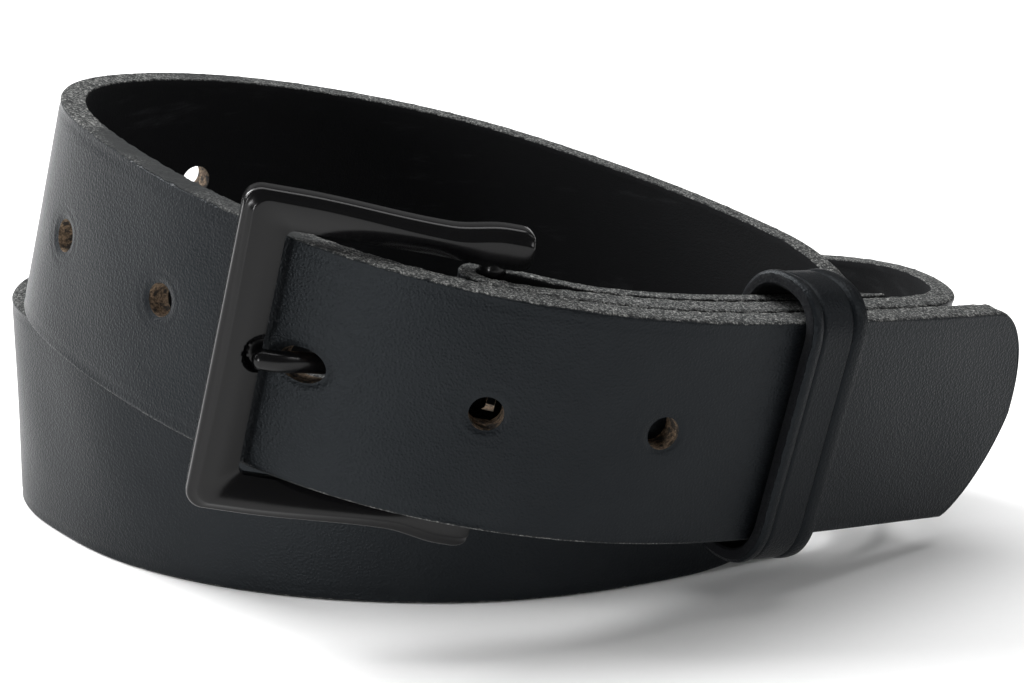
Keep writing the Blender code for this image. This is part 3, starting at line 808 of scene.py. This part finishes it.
def slot_part(strap):
    """A curved bar that follows the fold, cut out of it so that the prong can turn on the heel bar."""
    places = np.arange(strap.fold_at - SLOT_REACH, strap.fold_at + SLOT_REACH, 0.7)
    middle, _, up, inward = strap.rows(places)
    points = []
    for i, place in enumerate(places):
        half = strap.thickness(place) / 2 + LAYER_GAP * CUTTER_GAP_SHARE
        for w, o in ((-1, -1), (1, -1), (1, 1), (-1, 1)):
            points.append(middle[i] + up[i] * w * SLOT_WIDTH / 2 + inward[i] * o * half)
    return points, grid_faces(len(places), 4)


def prong_channel(strap):
    """Room for the prong to swing where it passes through the strap."""
    line = prong_line(strap)
    line = line[int(CHANNEL_START * len(line)) : int(CHANNEL_END * len(line))]
    radii = [(PRONG_THICKNESS / 2 + PRONG_CLEARANCE, PRONG_WIDTH / 2 + PRONG_CLEARANCE)] * len(line)
    return tube(buckle_matrix(strap), line, radii)


def cut(target, points, faces, material, name):
    cutter = add_piece(name, points, faces, material)
    modifier = target.modifiers.new(name, "BOOLEAN")
    modifier.operation = "DIFFERENCE"
    modifier.solver = "EXACT"
    modifier.material_mode = "TRANSFER"
    modifier.object = cutter
    graph = bpy.context.evaluated_depsgraph_get()
    mesh = bpy.data.meshes.new_from_object(target.evaluated_get(graph))
    target.modifiers.clear()
    target.data = mesh
    bpy.data.objects.remove(cutter)


def build_strap(builder, leather, raw):
    strap = builder.strap
    points, rows, edge_mask, flesh_mask = strap_points(strap)
    faces = grid_faces(rows, len(points) // rows)
    masks = {"edge": edge_mask, "flesh": flesh_mask}
    obj = add_piece("strap_leather_strip", builder.world(points), faces, leather, masks)
    parts = []
    reach = STRAP_THICKNESS / 2 + LAYER_GAP * CUTTER_GAP_SHARE
    for number, place in enumerate(hole_places(), start=1):
        stretch = BUCKLED_HOLE_LENGTH / HOLE_DIAMETER if number == BUCKLED_HOLE else 1.0
        parts.append(rod(face_matrix(strap, place), HOLE_DIAMETER / 2, -reach, reach, stretch=stretch))
    parts.append(slot_part(strap))
    outer = STRAP_THICKNESS / 2 + LAYER_GAP
    for u in SCREW_ROWS_U:
        back = STRAP_THICKNESS + LAYER_GAP + fold_back_thickness(FOLD_BACK_END_U - u)
        for side in (-1, 1):
            base = layer_matrix(strap, u) @ Matrix.Translation((0, side * SCREW_OFFSET, outer))
            radius = HEAD_RADIUS + FIT_GAP
            parts.append(rod(base, radius, -POCKET_OVERLAP, HEAD_THICKNESS + FIT_GAP))
            parts.append(rod(base, radius, back - HEAD_THICKNESS - FIT_GAP, back + POCKET_OPENING))
    points, faces = joined(parts)
    cut(obj, builder.world(points), faces, raw, "strap_cutter")
    points, faces = prong_channel(strap)
    cut(obj, builder.world(points), faces, raw, "channel_cutter")
    finish_shading(obj)
    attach(obj, "strap_body")
    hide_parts("strap")


def frame_rails():
    """Matching points along the buckle frame's outer and inner outlines, from one heel end to the other."""
    half_in = STRAP_WIDTH / 2 + FRAME_CLEARANCE
    half_out = half_in + FRAME_SIDE
    nose_out = FRAME_LENGTH + FRAME_NOSE / 2
    nose_in = FRAME_LENGTH - FRAME_NOSE / 2
    outer, inner = [], []
    share = np.concatenate([np.linspace(0.0, 0.075, 14)[:-1], np.linspace(0.075, 1.0, 44)])
    side_out = -FRAME_HEEL + share * (nose_out - FRAME_CORNER + FRAME_HEEL)
    side_in = -FRAME_HEEL + share * (nose_in - FRAME_INNER_CORNER + FRAME_HEEL)
    for x_out, x_in in zip(side_out, side_in):
        slim = FRAME_WAIST * smooth_step((FRAME_WAIST_START - x_out) / FRAME_WAIST_LENGTH)
        flare = FRAME_FLARE * smooth_step((FRAME_FLARE_START - x_out) / FRAME_FLARE_LENGTH)
        outer.append((x_out, half_out - slim + flare))
        inner.append((x_in, half_in))
    centre_out = np.array([nose_out - FRAME_CORNER, half_out - FRAME_CORNER])
    centre_in = np.array([nose_in - FRAME_INNER_CORNER, half_in - FRAME_INNER_CORNER])
    for angle in np.radians(np.linspace(90.0, 0.0, 14)[1:]):
        turn = np.array([math.cos(angle), math.sin(angle)])
        outer.append(tuple(centre_out + turn * FRAME_CORNER))
        inner.append(tuple(centre_in + turn * FRAME_INNER_CORNER))
    top_out = outer[-1][1]
    top_in = half_in - FRAME_INNER_CORNER
    count = 64
    for k in range(1, count):
        share = 1.0 - k / count
        y = share * share * 0.6 + share * 0.4
        outer.append((nose_out, top_out * y))
        inner.append((nose_in, top_in * y))
    outer.append((nose_out, 0.0))
    inner.append((nose_in, 0.0))
    outer += [(x, -y) for x, y in reversed(outer[:-1])]
    inner += [(x, -y) for x, y in reversed(inner[:-1])]
    return np.array(outer), np.array(inner)


def frame_section(width, fall):
    """Across the bar from its outer edge (0) to its inner edge (1): (share, height), front side negative.

    The front has a narrow shoulder, a soft ridge, and then a rounded slope down to the opening.
    """
    half = FRAME_THICKNESS / 2
    ridge = FRAME_RIDGE / width
    section = [(0.03, half - 0.28), (0.0, half - 0.7), (0.0, 0.0), (0.0, -half + FRAME_SHOULDER)]
    for angle in np.radians(np.arange(15.0, 91.0, 15.0)):
        across = FRAME_SHOULDER_WIDTH / width * (1 - math.cos(angle))
        section.append((across, -half + FRAME_SHOULDER - FRAME_SHOULDER_RISE * math.sin(angle)))
    section += [(ridge * 0.62, -half + 0.42), (ridge * 0.86, -half + 0.14)]
    section += [(ridge, -half + 0.02), (ridge + 0.03, -half)]
    for share in np.linspace(0.0, 1.0, 18)[1:]:
        section.append((ridge + 0.03 + (0.97 - ridge) * share, -half + fall * share**1.8))
    section += [(1.0, 0.3), (1.0, half - 0.7), (0.97, half - 0.28), (0.88, half), (0.5, half), (0.12, half)]
    return section


def build_frame(builder, metal):
    """The buckle's U-shaped frame with a creased bevel, a dent for the prong, and its heel bar."""
    matrix = builder.world_matrix(buckle_matrix(builder.strap))
    outer, inner = frame_rails()
    count = len(outer)
    nose_in = FRAME_LENGTH - FRAME_NOSE / 2
    half_side = STRAP_WIDTH / 2 + FRAME_CLEARANCE
    points = []
    for i in range(count):
        width = float(np.linalg.norm(outer[i] - inner[i]))
        on_side = abs(outer[i][1]) > half_side
        from_end = min((outer[i][0] + FRAME_HEEL) / FRAME_END_ROUNDING, 1.0) if on_side else 1.0
        blunt = 0.5 + 0.5 * math.sqrt(max(1.0 - (1.0 - from_end) ** 2, 0.0))
        sloping = smooth_step((outer[i][0] - BAR_RADIUS) / FRAME_SLOPE_LENGTH)
        sloping = FRAME_SLOPE_AT_HEEL + (1.0 - FRAME_SLOPE_AT_HEEL) * sloping
        for share, height in frame_section(width, FRAME_SLOPE * sloping):
            share = 0.5 + (share - 0.5) * blunt
            x, y = outer[i] + (inner[i] - outer[i]) * share
            away = math.hypot(x - nose_in, y)
            if height < NOTCH_FLOOR:
                inside = smooth_step((NOTCH_RADIUS + NOTCH_EDGE / 2 - away) / NOTCH_EDGE)
                height += (NOTCH_FLOOR - height) * float(inside)
            points.append(matrix @ Vector((x, y + FRAME_LIFT, height * (0.6 + 0.4 * blunt))))
    parts = [(points, grid_faces(count, len(points) // count))]
    end = STRAP_WIDTH / 2 + FRAME_CLEARANCE + FRAME_SIDE * 0.4
    ys = np.linspace(-end, end, 60)
    bar_points = []
    for y in ys:
        collar = float(bell(abs(y) - STRAP_WIDTH / 2 - COLLAR_OUT, COLLAR_WIDTH))
        radius = BAR_RADIUS + COLLAR_HEIGHT * collar
        for k in range(BAR_SIDES):
            angle = 2.0 * math.pi * k / BAR_SIDES
            bar_points.append(matrix @ Vector((radius * math.cos(angle), y, radius * math.sin(angle))))
    parts.append((bar_points, grid_faces(len(ys), BAR_SIDES)))
    points, faces = joined(parts)
    obj = add_piece("buckle_frame_cast", [point * TO_METRES for point in points], faces, metal)
    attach(obj, "frame_body")
    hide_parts("buckle_frame")


def prong_line(strap):
    """The prong's middle line in the buckle's own frame, as (towards the nose, across, inward)."""
    place = TIP_TO_FIRST_HOLE + (BUCKLED_HOLE - 1) * HOLE_SPACING
    to_local = buckle_matrix(strap).inverted()
    matrix = face_matrix(strap, place)
    hole = to_local @ matrix.translation
    tangent = to_local.to_3x3() @ Vector(matrix.col[0][:3])
    inward = to_local.to_3x3() @ Vector(matrix.col[2][:3])
    rest = PRONG_THICKNESS / 2 + FIT_GAP - NOTCH_FLOOR
    tip = Vector((FRAME_LENGTH - FRAME_NOSE / 2 + PRONG_REACH, 0, -rest))
    root = Vector((BAR_RADIUS + PRONG_ROOT, 0, 0))
    clear = STRAP_THICKNESS / 2 + PRONG_THICKNESS / 2 + PRONG_STRAP_GAP
    before = hole - tangent * PRONG_RISE + inward * clear
    route = [root, before, hole, tip - Vector((PRONG_TIP_STRAIGHT, 0, 0)), tip]
    flat = spline([(point.x, point.z) for point in route], PRONG_STEP)
    return [(x, 0.0, z) for x, z in flat]


def build_prong(builder, metal):
    strap = builder.strap
    matrix = builder.world_matrix(buckle_matrix(strap))
    line = prong_line(strap)
    count = len(line)
    radii = []
    for i in range(count):
        to_tip = (count - 1 - i) * PRONG_STEP
        blunt = math.sqrt(max(1.0 - (1.0 - min(to_tip / PRONG_TIP_ROUNDING, 1.0)) ** 2, 0.01))
        radii.append((PRONG_THICKNESS / 2 * blunt, PRONG_WIDTH / 2 * blunt))
    parts = [tube(matrix, line, radii)]
    inner = BAR_RADIUS + FIT_GAP
    outer = inner + PRONG_RING_WALL
    half = PRONG_RING_WIDTH / 2
    inner_flat = inner + PRONG_RING_INNER_CORNER
    outer_flat = outer - PRONG_RING_OUTER_CORNER
    crown = outer - PRONG_RING_CROWN
    profile = [(inner, -half + PRONG_RING_INNER_CORNER), (inner, half - PRONG_RING_INNER_CORNER)]
    profile += [(inner_flat, half), (outer_flat, half), (crown, half - PRONG_RING_SHOULDER)]
    profile += [(outer, 0.0), (crown, -half + PRONG_RING_SHOULDER)]
    profile += [(outer_flat, -half), (inner_flat, -half)]
    ring = []
    for k in range(RING_STEPS):
        angle = 2.0 * math.pi * k / RING_STEPS
        for radius, y in profile:
            ring.append(matrix @ Vector((radius * math.cos(angle), y, radius * math.sin(angle))))
    parts.append((ring, grid_faces(RING_STEPS, len(profile), closed_rows=True)))
    points, faces = joined(parts)
    obj = add_piece("prong_bar", [point * TO_METRES for point in points], faces, metal)
    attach(obj, "prong_body")
    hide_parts("prong")


def keeper_loop():
    """The keeper's middle line round the strap as (inward, across): flat sides and arched ends."""
    outer_face = STRAP_THICKNESS / 2 + KEEPER_CLEARANCE
    inner_face = STRAP_THICKNESS * 1.5 + 2.0 * LAYER_GAP + FOLD_THICKNESS + KEEPER_CLEARANCE
    middle = (inner_face - outer_face) / 2
    depth = (inner_face + outer_face + KEEPER_THICKNESS) / 2
    apex = STRAP_WIDTH / 2 + KEEPER_PROUD
    arch = depth * 1.05
    loop = []
    for side in (1, -1):
        for angle in np.radians(np.linspace(180.0, 0.0, 40)):
            across = abs(math.cos(angle)) ** (2.0 / KEEPER_ARCH) * math.copysign(1.0, math.cos(angle))
            rise = max(math.sin(angle), 0.0) ** (2.0 / KEEPER_ARCH)
            loop.append((middle + side * depth * across, side * (apex - arch + arch * rise)))
    return resample(np.array(loop + loop[:1]), 0.6)[:-1]


def keeper_relief(x):
    """Two creased lines with a rounded bead outside each of them."""
    half = KEEPER_WIDTH / 2
    left = half - KEEPER_CREASE_LEFT
    right = half - KEEPER_CREASE_RIGHT
    relief = -KEEPER_CREASE_DEPTH * (bell(x + right, 0.20) + bell(x - left, 0.24))
    relief += KEEPER_BEAD * bell(x + (right + half) / 2, KEEPER_CREASE_RIGHT * 0.42)
    relief += KEEPER_BEAD * bell(x - (left + half) / 2, KEEPER_CREASE_LEFT * 0.42)
    return relief


def build_keeper(builder, leather):
    """A loop of thinner leather with rounded edges and a creased line along each edge."""
    matrix = builder.world_matrix(layer_matrix(builder.strap, KEEPER_U))
    loop = keeper_loop()
    tangents = unit(np.roll(loop, -1, axis=0) - np.roll(loop, 1, axis=0))
    normals = np.stack([tangents[:, 1], -tangents[:, 0]], axis=1)
    if np.mean(np.sum(normals * (loop - loop.mean(axis=0)), axis=1)) < 0:
        normals = -normals
    half = KEEPER_WIDTH / 2
    thick = KEEPER_THICKNESS / 2
    section = []
    for x in np.linspace(-half + 0.45, half - 0.45, 44):
        section.append((x, thick + keeper_relief(x), 0.0, 0.0))
    edge_line = [(0.16, thick - 0.25, 0.45), (0.0, thick - 0.6, 1.0)]
    edge_line += [(0.0, 0.0, 1.0), (0.0, -thick + 0.3, 1.0)]
    section += [(half - inset, out, edge, 0.0) for inset, out, edge in edge_line]
    for x in np.linspace(half - 0.3, -half + 0.3, 10):
        section.append((x, -thick, 0.0, 1.0))
    section += [(inset - half, out, edge, 0.0) for inset, out, edge in reversed(edge_line)]
    points, edge_mask, flesh_mask = [], [], []
    for centre, normal in zip(loop, normals):
        for x, out, edge, flesh in section:
            inward, across = centre + normal * out
            points.append(matrix @ Vector((x, across, inward)) * TO_METRES)
            edge_mask.append(edge)
            flesh_mask.append(flesh)
    faces = grid_faces(len(loop), len(section), closed_rows=True)
    masks = {"edge": edge_mask, "flesh": flesh_mask}
    obj = add_piece("keeper_loop", points, faces, leather, masks)
    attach(obj, "keeper_body")
    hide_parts("keeper")


def dress_screws(frame, metal):
    for name, node in frame["nodes"].items():
        if name.startswith(("post_", "screw_")):
            node.data.materials.clear()
            node.data.materials.append(metal)
            finish_shading(node)


# The stage


def floor_material():
    material, tree, shader, place = new_material("pale_paper")
    grain = noise(tree, place, 1.5, 4.0)
    tree.links.new(blended(tree, grain, (0.93, 0.93, 0.93), (0.95, 0.95, 0.95)), shader.inputs["Base Color"])
    shader.inputs["Roughness"].default_value = 0.9
    shader.inputs["Specular IOR Level"].default_value = 0.1
    return material


def add_floor():
    corners = []
    for k in range(FLOOR_SIDES):
        angle = 2.0 * math.pi * k / FLOOR_SIDES
        corners.append((FLOOR_RADIUS * math.cos(angle), FLOOR_RADIUS * math.sin(angle), 0.0))
    floor = add_piece("floor", corners, [tuple(range(FLOOR_SIDES))], floor_material())


def add_area_light(name, place, target, width, height, power):
    light = bpy.data.lights.new(name, "AREA")
    light.shape = "RECTANGLE"
    light.size = width
    light.size_y = height
    light.energy = power
    obj = bpy.data.objects.new(name, light)
    obj.location = place
    obj.rotation_euler = (Vector(target) - Vector(place)).to_track_quat("-Z", "Y").to_euler()
    bpy.context.scene.collection.objects.link(obj)


def add_lights():
    world = bpy.data.worlds.new("studio")
    bpy.context.scene.world = world
    world.use_nodes = True
    tree = world.node_tree
    sky = tree.nodes["Background"]
    sky.inputs["Color"].default_value = (1.0, 1.0, 1.0, 1.0)
    sky.inputs["Strength"].default_value = SKY_LIGHT
    backdrop = tree.nodes.new("ShaderNodeBackground")
    backdrop.inputs["Color"].default_value = (1.0, 1.0, 1.0, 1.0)
    backdrop.inputs["Strength"].default_value = BACKDROP_LIGHT
    seen = tree.nodes.new("ShaderNodeLightPath").outputs["Is Camera Ray"]
    choice = tree.nodes.new("ShaderNodeMixShader")
    tree.links.new(seen, choice.inputs[0])
    tree.links.new(sky.outputs["Background"], choice.inputs[1])
    tree.links.new(backdrop.outputs["Background"], choice.inputs[2])
    tree.links.new(choice.outputs["Shader"], tree.nodes["World Output"].inputs["Surface"])
    for name, place, width, height, power in LIGHTS:
        add_area_light(name, place, LIGHT_TARGET, width, height, power)


def add_camera():
    data = bpy.data.cameras.new("camera")
    data.sensor_width = SENSOR_WIDTH
    data.lens = CAMERA_LENS
    data.clip_start = 0.01
    data.clip_end = 50.0
    camera = bpy.data.objects.new("camera", data)
    pitch, yaw, roll = (math.radians(angle) for angle in (CAMERA_PITCH, CAMERA_YAW, CAMERA_ROLL))
    turn = Matrix.Rotation(yaw, 4, "Z") @ Matrix.Rotation(math.pi / 2 - pitch, 4, "X")
    turn = turn @ Matrix.Rotation(roll, 4, "Z")
    camera.matrix_world = Matrix.Translation(Vector(CAMERA_PLACE) * TO_METRES) @ turn
    bpy.context.scene.collection.objects.link(camera)
    bpy.context.scene.camera = camera


def main():
    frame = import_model()
    builder = Builder(frame)
    leather = leather_material("strap_leather_black", STRAP_SPECULAR)
    keeper_edges = (KEEPER_EDGE_DARK, KEEPER_EDGE_LIGHT)
    keeper_leather = leather_material("keeper_leather_black", KEEPER_SPECULAR, *keeper_edges)
    buckle_metal = black_metal_material("buckle_black", BUCKLE_BLACK, BUCKLE_ROUGHNESS)
    screw_metal = black_metal_material("screw_black", SCREW_BLACK, SCREW_ROUGHNESS)
    build_strap(builder, leather, raw_leather_material())
    build_frame(builder, buckle_metal)
    build_prong(builder, buckle_metal)
    build_keeper(builder, keeper_leather)
    dress_screws(frame, screw_metal)
    add_floor()
    add_lights()
    add_camera()
    bpy.context.scene.view_settings.view_transform = "Standard"


main()
